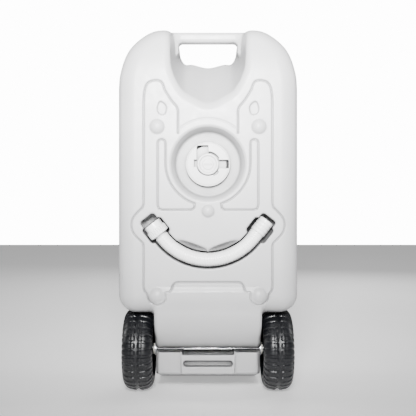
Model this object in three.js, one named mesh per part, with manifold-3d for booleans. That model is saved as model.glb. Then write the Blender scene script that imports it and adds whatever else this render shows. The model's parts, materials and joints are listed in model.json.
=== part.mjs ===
// Wheeled waste-water roll tank, standing upright on its two wheels and its rear foot.
// Millimetres, +Z up, the capped face towards -Y. Origin on the ground, under the middle of the box.
import * as THREE from 'three';
import { mergeVertices } from 'three/addons/utils/BufferGeometryUtils.js';
import Module from 'manifold-3d';

const wasm = await Module();
wasm.setup();

// Driving dimensions
const WIDTH = 395;
const HEIGHT = 824;
const DEPTH = 220;
const FACE_Y = -105;
const BACK_Y = FACE_Y + DEPTH;
const WALL = 3;
const GAP = 0.3;
const FAR = 30;
const LAP = 0.2;

// Tank body
const BODY_BOTTOM = 180;
const BODY_CORNER = 20;
const SHOULDER_Z = 677;
const FRONT_EDGE = { x: 45, y: 38 };
const BACK_EDGE = 60;
const FACE_TOP = 690;
const HORN_DEPTH = 75;

// Scoop between the two shoulders: its outline on the face, and on the back
const SCOOP_FACE = [[0, 635], [37, 650], [60, 669], [80, 712], [86, 770], [91, 812], [104, 880]];
const SCOOP_STEPS = 24;
const SCOOP_BACK = [[0, 764], [38, 772], [56, 772], [66, 787], [68, 810], [70, 820], [78, 880]];

// Grip bar across the scoop
const GRIP = {
  halfWidth: 88, window: 68, legBottom: 762, bottom: 798, top: 822, depth: 112, thick: 34, round: 6
};

// Round recess and filler neck, centred on the face
const CAP_Z = 508;
const RECESS = { edge: 82, floor: 70, depth: 30 };
const NECK_BORE = 42.3;
const NECK_OUTER = 46;
const NECK_END = 48;

// Hose in its trench: an arc with straight ends
const HOSE = {
  radius: 15.3, bore: 12.5, depth: 17, bottom: 299, arc: 126, turn: THREE.MathUtils.degToRad(52)
};
const TRENCH = { half: 18.5, end: 56 };
const POCKET = { half: 25, start: 2, end: 40 };
const FINGER = { ring: 108, angle: THREE.MathUtils.degToRad(19), along: 34, deep: 20, across: 12 };

// Low domes on the face: x, z, radius, height
const DOMES = [
  [110, 588, 16.2, 9], [-110, 588, 16.2, 9], [0, 405.5, 14, 8], [110, 223, 17, 9], [-110, 223, 17, 9]];

// Neck, base and foot, as depths behind the face plane and heights
const NECK_HALF = 117.5;
const BASE = { half: 117, faceHalf: 109.5, chamferEnd: 61, rearHalf: 97, rearStart: 200 };
const RAISED = { half: 60, front: 39.5, back: 60, bottom: 45, top: 93 };
const NECK_CURVE = { radius: 94.5, z: 185, sweep: 1.2 };
const LEDGE = { z: 91, front: 42 };
const PANEL_FOOT = { front: 46, z: 44 };
const FOOT = { start: 200, end: 218 };
const SLOT = { half: 55, bottom: 59, top: 73.5, depth: 56 };
const WINDOW_HALF = 58;
const SEAM = { bottom: 93.5, top: 96 };

// Running gear
const AXLE = { radius: 5, y: FACE_Y + 82, z: 92, end: 184.5 };
const WHEEL = { radius: 92, inner: 122, outer: 189, hub: 13, well: 24, wall: 5.5, shoulder: 16 };
const ARCH = 98;
const BUSH_BORE = AXLE.radius + GAP;
const BUSH_OUTER = 9;

const rotateToX = -Math.PI / 2;

// Solids and booleans ------------------------------------------------------------------------------

function signedVolume(position, index) {
  const a = new THREE.Vector3();
  const b = new THREE.Vector3();
  const c = new THREE.Vector3();
  let volume = 0;
  for (let i = 0; i < index.length; i += 3) {
    a.fromBufferAttribute(position, index[i]);
    b.fromBufferAttribute(position, index[i + 1]);
    c.fromBufferAttribute(position, index[i + 2]);
    volume += a.dot(b.cross(c)) / 6;
  }
  return volume;
}

function solid(geometry) {
  geometry.deleteAttribute('normal');
  geometry.deleteAttribute('uv');
  const merged = mergeVertices(geometry, 1e-3);
  const kept = [];
  const index = merged.index.array;
  for (let i = 0; i < index.length; i += 3) {
    const [a, b, c] = [index[i], index[i + 1], index[i + 2]];
    if (a !== b && b !== c && c !== a) kept.push(a, b, c);
  }
  if (signedVolume(merged.attributes.position, kept) < 0) kept.reverse();
  const vertProperties = merged.attributes.position.array;
  return new wasm.Manifold(new wasm.Mesh({ numProp: 3, vertProperties, triVerts: Uint32Array.from(kept) }));
}

function geometryOf(manifold) {
  const { vertProperties, triVerts } = manifold.getMesh();
  const geometry = new THREE.BufferGeometry();
  geometry.setAttribute('position', new THREE.BufferAttribute(vertProperties, 3));
  geometry.setIndex(new THREE.BufferAttribute(triVerts, 1));
  geometry.computeVertexNormals();
  return geometry;
}

const joined = (solids) => solids.reduce((sum, next) => sum.add(next));

const mirrored = (points) => [...points, ...points.map(([x, z]) => [-x, z]).reverse()];

const shapeOf = (points) => new THREE.Shape(points.map(([x, z]) => new THREE.Vector2(x, z)));

// An outline in X and Z, solid from depth front to depth back behind the face plane
function alongY(shape, front, back, options = {}) {
  const settings = { depth: back - front, bevelEnabled: false, curveSegments: 6, ...options };
  const geometry = new THREE.ExtrudeGeometry(shape, settings);
  return geometry.rotateX(Math.PI / 2).translate(0, FACE_Y + back, 0);
}

// An outline in Y and Z, solid from x = left to x = right
function alongX(shape, left, right) {
  const settings = { depth: right - left, bevelEnabled: false, curveSegments: 8 };
  const geometry = new THREE.ExtrudeGeometry(shape, settings);
  const basis = new THREE.Matrix4().makeBasis(
    new THREE.Vector3(0, 1, 0), new THREE.Vector3(0, 0, 1), new THREE.Vector3(1, 0, 0));
  return geometry.applyMatrix4(basis).translate(left, 0, 0);
}

// An outline in X and Y, solid over the whole height
function alongZ(shape, segments) {
  const settings = { depth: HEIGHT + 2 * FAR, bevelEnabled: false, curveSegments: segments };
  return new THREE.ExtrudeGeometry(shape, settings).translate(0, 0, -FAR);
}

const turned = (points, segments) =>
  new THREE.LatheGeometry(points.map(([r, y]) => new THREE.Vector2(r, y)), segments);

// A ring profile turned about the axle, on the +X side
const turnedOnAxle = (points, segments) =>
  turned(points, segments).rotateZ(rotateToX).translate(0, AXLE.y, AXLE.z);

// A profile of radius and depth turned about the cap's axis
const turnedOnCap = (points, segments) => turned(points, segments).translate(0, FACE_Y, CAP_Z);

const boxOf = (x0, x1, d0, d1, z0, z1) => solid(new THREE.BoxGeometry(x1 - x0, d1 - d0, z1 - z0)
  .translate((x0 + x1) / 2, FACE_Y + (d0 + d1) / 2, (z0 + z1) / 2));

// Tank shell ---------------------------------------------------------------------------------------

function tankOutline(inset) {
  const side = WIDTH / 2 - inset;
  const top = HEIGHT - inset;
  const bottom = BODY_BOTTOM + inset;
  const half = new THREE.Path();
  half.moveTo(0, bottom);
  half.lineTo(side - BODY_CORNER, bottom);
  half.absarc(side - BODY_CORNER, bottom + BODY_CORNER, BODY_CORNER, -Math.PI / 2, 0, false);
  half.lineTo(side, SHOULDER_Z);
  half.bezierCurveTo(side, 735, side - 22, 762, 161 - inset, 783);
  half.bezierCurveTo(143 - inset, 804, 128, top + 1, 104, top);
  half.lineTo(0, top);
  const points = half.getPoints(7).map((p) => [p.x, p.y]);
  return shapeOf(mirrored(points.slice(1, -1)));
}

function crossSection(halfWidth, inset, frontX, frontY, rear) {
  const side = halfWidth - inset;
  const front = FACE_Y + inset;
  const back = BACK_Y - inset;
  const shape = new THREE.Shape();
  shape.moveTo(frontX - side, front);
  shape.absellipse(side - frontX, front + frontY, frontX, frontY, -Math.PI / 2, 0, false);
  shape.absellipse(side - rear, back - rear, rear, rear, 0, Math.PI / 2, false);
  shape.absellipse(rear - side, back - rear, rear, rear, Math.PI / 2, Math.PI, false);
  shape.absellipse(frontX - side, front + frontY, frontX, frontY, Math.PI, 1.5 * Math.PI, false);
  return shape;
}

// The shoulders lean back towards their tops
function bodySide(inset) {
  const front = FACE_Y + inset;
  const back = BACK_Y - inset;
  const top = HEIGHT - inset;
  const shape = new THREE.Shape();
  shape.moveTo(front, 0);
  shape.lineTo(front, FACE_TOP);
  shape.bezierCurveTo(front, FACE_TOP + 70, front + 25, top, front + HORN_DEPTH, top);
  shape.lineTo(back - 50, top);
  shape.bezierCurveTo(back - 15, top, back, top - 25, back, top - 60);
  shape.lineTo(back, 0);
  return shape;
}

function bodyBlock(inset) {
  const outline = solid(alongY(tankOutline(inset), -FAR, DEPTH + FAR));
  const plan = crossSection(WIDTH / 2, inset, FRONT_EDGE.x, FRONT_EDGE.y, BACK_EDGE);
  const rounded = solid(alongZ(plan, 6));
  const side = solid(alongX(bodySide(inset), -WIDTH, WIDTH));
  return outline.intersect(rounded).intersect(side);
}

// The neck's front curves back to the seam. The base stands forward of it as a ledge, and its
// underside climbs forward from the rear foot.
function baseBlock(inset) {
  const y = (depth) => FACE_Y + depth;
  const upper = new THREE.Shape();
  upper.moveTo(y(inset), BODY_BOTTOM + 30);
  upper.absarc(y(NECK_CURVE.radius), NECK_CURVE.z, NECK_CURVE.radius - inset, Math.PI,
    Math.PI + NECK_CURVE.sweep, false);
  upper.lineTo(y(60 + inset), LEDGE.z - 12);
  upper.lineTo(y(DEPTH - inset), LEDGE.z - 12);
  upper.lineTo(y(DEPTH - inset), BODY_BOTTOM + 30);
  const lower = shapeOf([
    [y(LEDGE.front + inset), LEDGE.z - inset], [y(PANEL_FOOT.front + inset), PANEL_FOOT.z + inset],
    [y(FOOT.start + inset), inset], [y(FOOT.end - inset), inset], [y(DEPTH - inset), 6 + inset],
    [y(DEPTH - inset), LEDGE.z - inset]]);
  const neckPlan = crossSection(NECK_HALF, inset, 6, 6, 20);
  const basePlan = shapeOf(mirrored([
    [BASE.faceHalf - inset, y(0)], [BASE.faceHalf - inset, y(LEDGE.front)],
    [BASE.half - inset, y(BASE.chamferEnd)], [BASE.half - inset, y(BASE.rearStart)],
    [BASE.rearHalf - inset, y(DEPTH)]]));
  const neck = solid(alongX(upper, -NECK_HALF, NECK_HALF)).intersect(solid(alongZ(neckPlan, 3)));
  const base = solid(alongX(lower, -NECK_HALF, NECK_HALF)).intersect(solid(alongZ(basePlan, 1)));
  return neck.add(base);
}

// The scoop runs from its outline on the face to its outline on the back, and past both
function loftedScoop(grow) {
  const outline = (points) => {
    const spread = points.map(([x, z]) => [x === 0 ? 0 : x + grow, z - grow]);
    const [bottom, ...side] = spread;
    const whole = [...side.reverse(), bottom, ...side.reverse().map(([x, z]) => [-x, z])];
    return new THREE.SplineCurve(whole.map(([x, z]) => new THREE.Vector2(x, z))).getPoints(SCOOP_STEPS);
  };
  const face = outline(SCOOP_FACE);
  const back = outline(SCOOP_BACK);
  const geometry = alongY(new THREE.Shape(face), 0, DEPTH);
  const position = geometry.attributes.position;
  for (let i = 0; i < position.count; i += 1) {
    const x = position.getX(i);
    const z = position.getZ(i);
    const match = face.findIndex((p) => Math.hypot(p.x - x, p.y - z) < 0.01);
    const blend = position.getY(i) > 0 ? 1 + FAR / DEPTH : -FAR / DEPTH;
    position.setX(i, x + (back[match].x - x) * blend);
    position.setZ(i, z + (back[match].y - z) * blend);
    position.setY(i, FACE_Y + DEPTH * blend);
  }
  return solid(geometry);
}

function capRecess(grow) {
  const { edge, floor, depth } = RECESS;
  return solid(turnedOnCap([
    [0, -FAR], [edge + 4 + grow, -FAR], [edge + 4 + grow, 0], [edge - 2 + grow, 2 + grow],
    [edge - 8 + grow, 9 + grow], [floor + grow, 20 + grow], [floor - 2 + grow, depth + grow],
    [0, depth + grow]], 32));
}

// A point on the hose's centreline, at a distance beyond the arc's end, on the side given
function hosePoint(side, beyond) {
  const x = HOSE.arc * Math.sin(HOSE.turn) + beyond * Math.cos(HOSE.turn);
  const z = HOSE.bottom + HOSE.arc * (1 - Math.cos(HOSE.turn)) + beyond * Math.sin(HOSE.turn);
  return new THREE.Vector3(side * x, FACE_Y + HOSE.depth, z);
}

function hoseRoute(leftEnd, rightEnd) {
  const arcSteps = 9;
  const points = [hosePoint(-1, leftEnd), hosePoint(-1, leftEnd / 2)];
  for (let i = 0; i <= arcSteps; i += 1) {
    const angle = HOSE.turn * (2 * i / arcSteps - 1);
    const z = HOSE.bottom + HOSE.arc * (1 - Math.cos(angle));
    points.push(new THREE.Vector3(HOSE.arc * Math.sin(angle), FACE_Y + HOSE.depth, z));
  }
  points.push(hosePoint(1, rightEnd / 2), hosePoint(1, rightEnd));
  return new THREE.CatmullRomCurve3(points, false, 'centripetal');
}

function circleOutline(radius, sides) {
  const points = [];
  for (let i = 0; i < sides; i += 1) {
    const angle = (2 * Math.PI * i) / sides;
    points.push(new THREE.Vector2(radius * Math.cos(angle), radius * Math.sin(angle)));
  }
  return points;
}

function tube(radius, bore, route, sides, steps) {
  const shape = new THREE.Shape(circleOutline(radius, sides));
  if (bore > 0) shape.holes.push(new THREE.Path(circleOutline(bore, sides)));
  return solid(new THREE.ExtrudeGeometry(shape, { extrudePath: route, steps, bevelEnabled: false }));
}

// A turned piece on the hose's end: profile of radius and distance beyond the arc's end
function turnedOnHose(side, points, segments) {
  const lean = side * (HOSE.turn - Math.PI / 2);
  const start = hosePoint(side, 0);
  return solid(turned(points, segments).rotateX(Math.PI / 2).rotateY(-lean)
    .translate(start.x, start.y, start.z));
}

function hoseTrench(grow) {
  const half = TRENCH.half + grow;
  const { arc, depth, turn, bottom } = HOSE;
  const band = new THREE.Shape();
  band.absarc(0, bottom + arc, arc + half, -Math.PI / 2 - turn, -Math.PI / 2 + turn, false);
  band.absarc(0, bottom + arc, arc - half, -Math.PI / 2 + turn, -Math.PI / 2 - turn, true);
  const pieces = [
    solid(alongY(band, -FAR, depth, { curveSegments: 12 })),
    tube(half, 0, hoseRoute(TRENCH.end, TRENCH.end), 16, 22)];
  const wide = POCKET.half + grow;
  const start = POCKET.start - grow;
  const end = POCKET.end + grow;
  const mouth = (side, from, to, across) => {
    const middle = hosePoint(side, (from + to) / 2);
    return solid(new THREE.BoxGeometry(to - from, FAR + depth, 2 * (across - LAP))
      .rotateY(-side * HOSE.turn).translate(middle.x, middle.y - (FAR + depth) / 2, middle.z));
  };
  for (const side of [-1, 1]) {
    pieces.push(mouth(side, start + LAP, end - LAP, wide), mouth(side, -1, TRENCH.end + grow - 1, half),
      turnedOnHose(side, [[0, start], [wide, start], [wide, end], [0, end]], 20));
  }
  return joined(pieces);
}

function fingerScoops(grow) {
  const { ring: reach, angle, along, deep, across } = FINGER;
  const x = reach * Math.sin(angle);
  const z = HOSE.bottom + HOSE.arc - reach * Math.cos(angle);
  const scoop = (side) => solid(new THREE.SphereGeometry(1, 14, 8)
    .scale(along + grow, deep + grow, across + grow)
    .rotateY(-side * angle).translate(side * x, FACE_Y, z));
  return scoop(1).add(scoop(-1));
}

// Both wheels turn in round arches beside the neck
function wheelArches(grow) {
  const arch = (side) => {
    const inner = side * (NECK_HALF - grow);
    const outer = side * (WIDTH / 2 + FAR);
    const radius = ARCH + grow;
    return solid(turnedOnAxle([[0, inner], [radius, inner], [radius, outer], [0, outer]], 32));
  };
  return arch(1).add(arch(-1));
}

function pillSlot(grow) {
  const radius = (SLOT.top - SLOT.bottom) / 2 + grow;
  const middle = (SLOT.top + SLOT.bottom) / 2;
  const reach = SLOT.half - (SLOT.top - SLOT.bottom) / 2;
  const pill = new THREE.Shape();
  pill.absarc(reach, middle, radius, -Math.PI / 2, Math.PI / 2, false);
  pill.absarc(-reach, middle, radius, Math.PI / 2, 1.5 * Math.PI, false);
  return solid(alongY(pill, 0, SLOT.depth + grow));
}

const cutters = (grow) => joined([
  loftedScoop(grow), capRecess(grow), hoseTrench(grow), fingerScoops(grow), wheelArches(grow),
  pillSlot(grow)]);

// The axle lies in a tunnel across the base, with a seam in front of it and a window in the middle
function axleTunnel() {
  const depth = AXLE.y - FACE_Y;
  const bore = solid(turnedOnAxle([
    [0, -NECK_HALF - FAR], [AXLE.radius + GAP, -NECK_HALF - FAR],
    [AXLE.radius + GAP, NECK_HALF + FAR], [0, NECK_HALF + FAR]], 16));
  const channel = solid(turnedOnAxle([
    [0, -WINDOW_HALF], [9, -WINDOW_HALF], [9, WINDOW_HALF], [0, WINDOW_HALF]], 16));
  return joined([bore, channel, boxOf(-WINDOW_HALF, WINDOW_HALF, 20, depth, LEDGE.z - 4, LEDGE.z + 7.5),
    boxOf(-WIDTH, WIDTH, 20, depth - 4, SEAM.bottom, SEAM.top)]);
}

function gripBar() {
  const { halfWidth, window, legBottom, bottom, top, depth, thick, round } = GRIP;
  const outer = new THREE.Shape();
  outer.moveTo(-halfWidth + round, top - round);
  outer.lineTo(halfWidth - round, top - round);
  outer.lineTo(halfWidth - round, legBottom + round);
  outer.lineTo(window + round, legBottom + round);
  outer.lineTo(window + round, bottom + round - 12);
  outer.quadraticCurveTo(window + round - 2, bottom + round, window - 10, bottom + round);
  outer.lineTo(10 - window, bottom + round);
  outer.quadraticCurveTo(2 - window - round, bottom + round, -window - round, bottom + round - 12);
  outer.lineTo(-window - round, legBottom + round);
  outer.lineTo(round - halfWidth, legBottom + round);
  const bevel = {
    bevelEnabled: true, bevelThickness: round, bevelSize: round, bevelSegments: 3, curveSegments: 4
  };
  return solid(alongY(outer, depth + round, depth + thick - round, bevel));
}

function domeSolid([x, z, radius, height]) {
  const ball = (radius * radius + height * height) / (2 * height);
  return solid(new THREE.SphereGeometry(ball, 16, 10).rotateX(Math.PI / 2)
    .translate(x, FACE_Y + ball - height, z));
}

function tankShell() {
  const axle = axleTunnel();
  const raised = boxOf(-RAISED.half, RAISED.half, RAISED.front, RAISED.back, RAISED.bottom, RAISED.top);
  const outside = joined([bodyBlock(0), baseBlock(0), raised]).subtract(cutters(0)).subtract(axle)
    .add(joined(DOMES.map(domeSolid))).add(gripBar());
  const neckTube = solid(turnedOnCap([
    [0, 0], [NECK_OUTER, 0], [NECK_OUTER, NECK_END], [0, NECK_END]], 32));
  const axleCover = boxOf(-WIDTH, WIDTH, 0, 97, LEDGE.z - 14, LEDGE.z + 14);
  const inside = bodyBlock(WALL).add(baseBlock(WALL)).subtract(cutters(WALL)).subtract(axleCover)
    .subtract(neckTube);
  const bore = solid(turnedOnCap([
    [0, 0], [NECK_BORE, 0], [NECK_BORE, NECK_END + 1], [0, NECK_END + 1]], 32));
  const hollow = inside.decompose().sort((a, b) => b.volume() - a.volume())[0];
  return outside.subtract(hollow).subtract(bore);
}

// Filler cap and drain plug ------------------------------------------------------------------------

const CAP = {
  radius: 49, front: 18, back: 27.5, spigot: 41.3, spigotEnd: 44, wall: 4, pocket: 28, ceiling: 31.5
};
const PLUG = { radius: 24, front: 19.5, back: 25.7, spigot: 16.5, end: 42, hole: 17 };
const CAP_SIDES = 40;

// The keyed pocket: a round seat with one arm up and one arm right, a wider quarter between them,
// and two small tabs
function keyedPocket() {
  const arm = (x0, x1, z0, z1) => boxOf(x0, x1, 0, CAP.pocket, CAP_Z + z0, CAP_Z + z1);
  const round = (radius) => solid(turnedOnCap([[0, 0], [radius, 0], [radius, CAP.pocket],
    [0, CAP.pocket]], CAP_SIDES));
  const quarter = round(PLUG.radius + 3.5).intersect(arm(0, CAP.radius, 0, CAP.radius));
  return joined([round(PLUG.radius + 1.5), quarter, arm(-24.6, 0.4, 0, 41), arm(0, 46, -9.1, 9.1),
    arm(-31, -20, -8, 9), arm(8, 22, -25, -13)]);
}

function fillerCap() {
  const { radius, front, back, spigot, spigotEnd, wall, ceiling } = CAP;
  const disc = solid(turnedOnCap([
    [0, front], [radius - 2.5, front], [radius, front + 2.5], [radius, back], [spigot, back],
    [spigot, spigotEnd], [spigot - wall, spigotEnd], [spigot - wall, ceiling], [0, ceiling]], CAP_SIDES));
  const rim = solid(turnedOnCap([
    [0, 0], [radius - 4, 0], [radius - 4, ceiling], [0, ceiling]], CAP_SIDES));
  const hole = solid(turnedOnCap([[0, 0], [PLUG.hole, 0], [PLUG.hole, 60], [0, 60]], 24));
  return disc.subtract(keyedPocket().intersect(rim)).subtract(hole);
}

const fillerCapSeal = () => solid(turnedOnCap([
  [43, CAP.back + GAP], [48, CAP.back + GAP], [48, RECESS.depth - GAP], [43, RECESS.depth - GAP],
  [43, CAP.back + GAP]], CAP_SIDES));

// A turned plug with a raised bar across it to turn it by
function drainPlug() {
  const { radius, front, back, spigot, end } = PLUG;
  const body = solid(turnedOnCap([
    [0, front + 3], [11, front + 3], [14, front], [radius - 2, front], [radius, front + 2],
    [radius, back], [spigot, back], [spigot, end], [spigot - 3, end], [spigot - 3, back - 1],
    [0, back - 1]], 32));
  return body.add(boxOf(-12.5, 12.5, front, front + 4, CAP_Z - 3, CAP_Z + 3));
}

const drainPlugSeal = () => solid(turnedOnCap([
  [PLUG.hole + 0.2, PLUG.back + GAP], [PLUG.radius - 1, PLUG.back + GAP],
  [PLUG.radius - 1, CAP.pocket - GAP],
  [PLUG.hole + 0.2, CAP.pocket - GAP], [PLUG.hole + 0.2, PLUG.back + GAP]], 32));

// Drain hose and its ends --------------------------------------------------------------------------

const HOSE_LEFT = 4;
const HOSE_RIGHT = 40;
const TAIL = { bore: 9, start: -6, barb: 11.4, neck: 14, flange: 18.2 };
const NUT = { radius: 22.5, start: 8, shoulder: 11, step: 24, end: 38, bore: 18.6 };
const CUFF = { radius: 17.4, start: 14, lip: 40.3, end: 48 };

const drainHose = () => tube(HOSE.radius, HOSE.bore, hoseRoute(HOSE_LEFT, HOSE_RIGHT), 12, 20);

// Barbed tube pushed into the hose, with a flange that the nut pulls on
const hoseTail = () => turnedOnHose(-1, [
  [TAIL.bore, TAIL.start], [TAIL.barb - 1.5, TAIL.start], [TAIL.barb - 0.5, 0], [TAIL.barb, HOSE_LEFT + GAP],
  [TAIL.neck, HOSE_LEFT + GAP], [TAIL.neck, NUT.shoulder + GAP], [TAIL.flange, NUT.shoulder + GAP],
  [TAIL.flange, NUT.shoulder + 3], [TAIL.bore, NUT.shoulder + 3], [TAIL.bore, TAIL.start]], 20);

const hoseWasher = () => turnedOnHose(-1, [
  [11, NUT.shoulder + 3 + GAP], [NUT.bore - 0.5, NUT.shoulder + 3 + GAP], [NUT.bore - 0.5, NUT.shoulder + 6],
  [11, NUT.shoulder + 6], [11, NUT.shoulder + 3 + GAP]], 20);

const hoseNut = () => turnedOnHose(-1, [
  [TAIL.neck + GAP, NUT.start], [NUT.radius - 2.5, NUT.start], [NUT.radius, NUT.start + 2],
  [NUT.radius, NUT.step],
  [NUT.radius - 2, NUT.step + 2], [NUT.radius - 2, NUT.end], [NUT.bore, NUT.end], [NUT.bore, NUT.shoulder],
  [TAIL.neck + GAP, NUT.shoulder], [TAIL.neck + GAP, NUT.start]], 24);

const hoseCuff = () => turnedOnHose(1, [
  [HOSE.radius + GAP, CUFF.start], [CUFF.radius - 1, CUFF.start], [CUFF.radius, CUFF.start + 1.5],
  [CUFF.radius, CUFF.end - 2], [CUFF.radius - 2, CUFF.end], [HOSE.bore, CUFF.end], [HOSE.bore, CUFF.lip],
  [HOSE.radius + GAP, CUFF.lip], [HOSE.radius + GAP, CUFF.start]], 24);

// Running gear -------------------------------------------------------------------------------------

const HUB_START = 123.2;
const HUB_END = 175.4;
const STACK = { washer: NECK_HALF + GAP, bush: 121.1, outerBush: 177.5, outerWasher: 177.8, nut: 180.1 };

const ring = (inner, outer, from, to) => [[inner, from], [outer, from], [outer, to], [inner, to],
  [inner, from]];

// A hollow wheel: closed outer face with a hub well, tread with a middle groove, open inner side
function wheelProfile() {
  const { radius, inner, outer, hub, well, wall, shoulder } = WHEEL;
  const rounded = [];
  for (let i = 0; i <= 4; i += 1) {
    const angle = (Math.PI / 2) * (i / 4);
    const lift = shoulder * (Math.sin(angle) - 1);
    rounded.push([radius + lift, shoulder * (1 - Math.cos(angle))]);
  }
  const innerShoulder = rounded.map(([r, x]) => [r, inner + x]);
  const outerShoulder = rounded.map(([r, x]) => [r, outer - x]).reverse();
  const middle = (inner + outer) / 2;
  return [[BUSH_OUTER + GAP, HUB_START], [hub, HUB_START], [hub, HUB_END - WALL],
    [well + WALL, HUB_END - WALL],
    [well + WALL, outer - WALL], [radius - shoulder - 2, outer - WALL], [radius - wall, outer - shoulder],
    [radius - wall, inner + shoulder], [radius - shoulder - 2, inner], ...innerShoulder,
    [radius, middle - 4], [radius - 3, middle - 2.5], [radius - 3, middle + 2.5], [radius, middle + 4],
    ...outerShoulder, [well, outer], [well, HUB_END], [BUSH_OUTER + GAP, HUB_END],
      [BUSH_OUTER + GAP, HUB_START]];
}

const innerBushProfile = [[BUSH_BORE, STACK.bush], [12.5, STACK.bush], [12.5, HUB_START - GAP],
  [BUSH_OUTER, HUB_START - GAP], [BUSH_OUTER, 138], [BUSH_BORE, 138], [BUSH_BORE, STACK.bush]];
const outerBushProfile = [[BUSH_BORE, 161], [BUSH_OUTER, 161], [BUSH_OUTER, HUB_END + GAP],
  [12.5, HUB_END + GAP], [12.5, STACK.outerBush], [BUSH_BORE, STACK.outerBush], [BUSH_BORE, 161]];
const hubCapProfile = [[0, 188.8], [16, 188.2], [23.4, 186.6], [23.4, 181], [21, 181], [21, 185],
  [0, 185.8]];
const axleProfile = [[0, -AXLE.end], [AXLE.radius - 1, -AXLE.end], [AXLE.radius, 1 - AXLE.end],
  [AXLE.radius, AXLE.end - 1], [AXLE.radius - 1, AXLE.end], [0, AXLE.end]];

// Each turned piece of the running gear: name, profile, sides, material
const GEAR = [
  ['wheel', wheelProfile(), 36, 'wheel'],
  ['inner_washer', ring(BUSH_BORE, 15, STACK.washer, STACK.washer + 3), 24, 'zinc'],
  ['bush_inner', innerBushProfile, 20, 'bush'],
  ['bush_outer', outerBushProfile, 20, 'bush'],
  ['outer_washer', ring(BUSH_BORE, 11, STACK.outerWasher, STACK.outerWasher + 2), 24, 'zinc'],
  ['push_nut', ring(BUSH_BORE, 9, STACK.nut, STACK.nut + 2), 18, 'zinc'],
  ['hub_cap', hubCapProfile, 32, 'wheel']];

// Materials and assembly ---------------------------------------------------------------------------

const finish = (color, roughness, metalness) => new THREE.MeshStandardMaterial({ color, roughness,
  metalness });
const MATERIALS = {
  shell: finish(0xd9dadb, 0.42, 0),
  cap: finish(0xe4e4e4, 0.4, 0),
  hose: finish(0xf4f4f4, 0.35, 0),
  wheel: finish(0x14161b, 0.35, 0),
  zinc: finish(0xd6d8da, 0.35, 0.9),
  steel: finish(0xdadce0, 0.2, 1),
  rubber: finish(0x1c1c1c, 0.8, 0),
  bush: finish(0xe9e6dc, 0.5, 0)
};

const tote = new THREE.Group();

function place(name, manifold, material) {
  const mesh = new THREE.Mesh(geometryOf(manifold), MATERIALS[material]);
  mesh.name = name;
  tote.add(mesh);
}

place('tank_shell', tankShell(), 'shell');
place('filler_cap', fillerCap(), 'cap');
place('filler_cap_seal', fillerCapSeal(), 'rubber');
place('drain_plug', drainPlug(), 'cap');
place('drain_plug_seal', drainPlugSeal(), 'rubber');
place('drain_hose', drainHose(), 'hose');
place('hose_tail', hoseTail(), 'hose');
place('hose_washer', hoseWasher(), 'rubber');
place('hose_nut', hoseNut(), 'hose');
place('hose_cuff', hoseCuff(), 'hose');
place('axle', solid(turnedOnAxle(axleProfile, 16)), 'steel');
for (const [side, sign] of [['right', 1], ['left', -1]]) {
  for (const [name, profile, sides, material] of GEAR) {
    place(`${name}_${side}`, solid(turnedOnAxle(profile, sides).scale(sign, 1, 1)), material);
  }
}

export default tote;
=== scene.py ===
"""Wheeled waste-water roll tank: the visual model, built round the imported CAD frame.

The shell is one smooth moulding, so it is made as a distance field in millimetres (x to the
right, depth behind the face plane, z up) and meshed. The turned and moulded pieces are meshed
from their profiles. Everything handed to Blender is in metres in the CAD's frame.
"""
import json
import math

import bmesh
import bpy
import numpy as np
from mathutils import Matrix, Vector


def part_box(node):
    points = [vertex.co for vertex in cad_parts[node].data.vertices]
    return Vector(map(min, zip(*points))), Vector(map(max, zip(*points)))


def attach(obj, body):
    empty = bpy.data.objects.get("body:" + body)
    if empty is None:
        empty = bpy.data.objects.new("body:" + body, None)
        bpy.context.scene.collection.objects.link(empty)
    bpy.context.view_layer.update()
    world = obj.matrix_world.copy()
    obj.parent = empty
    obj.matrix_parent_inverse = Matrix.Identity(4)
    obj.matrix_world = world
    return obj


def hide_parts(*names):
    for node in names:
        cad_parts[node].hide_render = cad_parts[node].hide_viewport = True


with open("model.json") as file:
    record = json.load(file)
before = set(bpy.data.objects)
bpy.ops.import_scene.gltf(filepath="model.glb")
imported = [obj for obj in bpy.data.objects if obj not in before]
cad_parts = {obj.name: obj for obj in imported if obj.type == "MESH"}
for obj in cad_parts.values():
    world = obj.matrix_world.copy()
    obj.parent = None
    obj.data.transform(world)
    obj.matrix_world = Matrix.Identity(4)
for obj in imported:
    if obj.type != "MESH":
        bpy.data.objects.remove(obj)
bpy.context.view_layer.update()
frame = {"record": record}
MM = 0.001

# Driving dimensions, in millimetres, from the frame's own nodes
shell_low, shell_high = [[v / MM for v in corner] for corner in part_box("tank_shell")]
wheel_low, wheel_high = [[v / MM for v in corner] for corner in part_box("wheel_right")]
cap_low, cap_high = [[v / MM for v in corner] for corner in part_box("filler_cap")]
HALF_WIDTH = shell_high[0]
HEIGHT = shell_high[2]
BACK_Y = shell_high[1]
DEPTH = 220.0
FACE_Y = BACK_Y - DEPTH
AXLE_Y = (wheel_low[1] + wheel_high[1]) / 2
AXLE_Z = (wheel_low[2] + wheel_high[2]) / 2
AXLE_DEPTH = AXLE_Y - FACE_Y
CAP_Z = (cap_low[2] + cap_high[2]) / 2


# ---------------------------------------------------------------- camera, light and floor

def add_camera():
    """The camera, at the front view the object is shown in"""
    data = bpy.data.cameras.new("camera")
    data.lens = 58.1
    camera = bpy.data.objects.new("camera", data)
    camera.location = (0, (FACE_Y - 1450) * MM, 412 * MM)
    camera.rotation_euler = (math.radians(90), 0, 0)
    bpy.context.collection.objects.link(camera)
    bpy.context.scene.camera = camera


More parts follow.
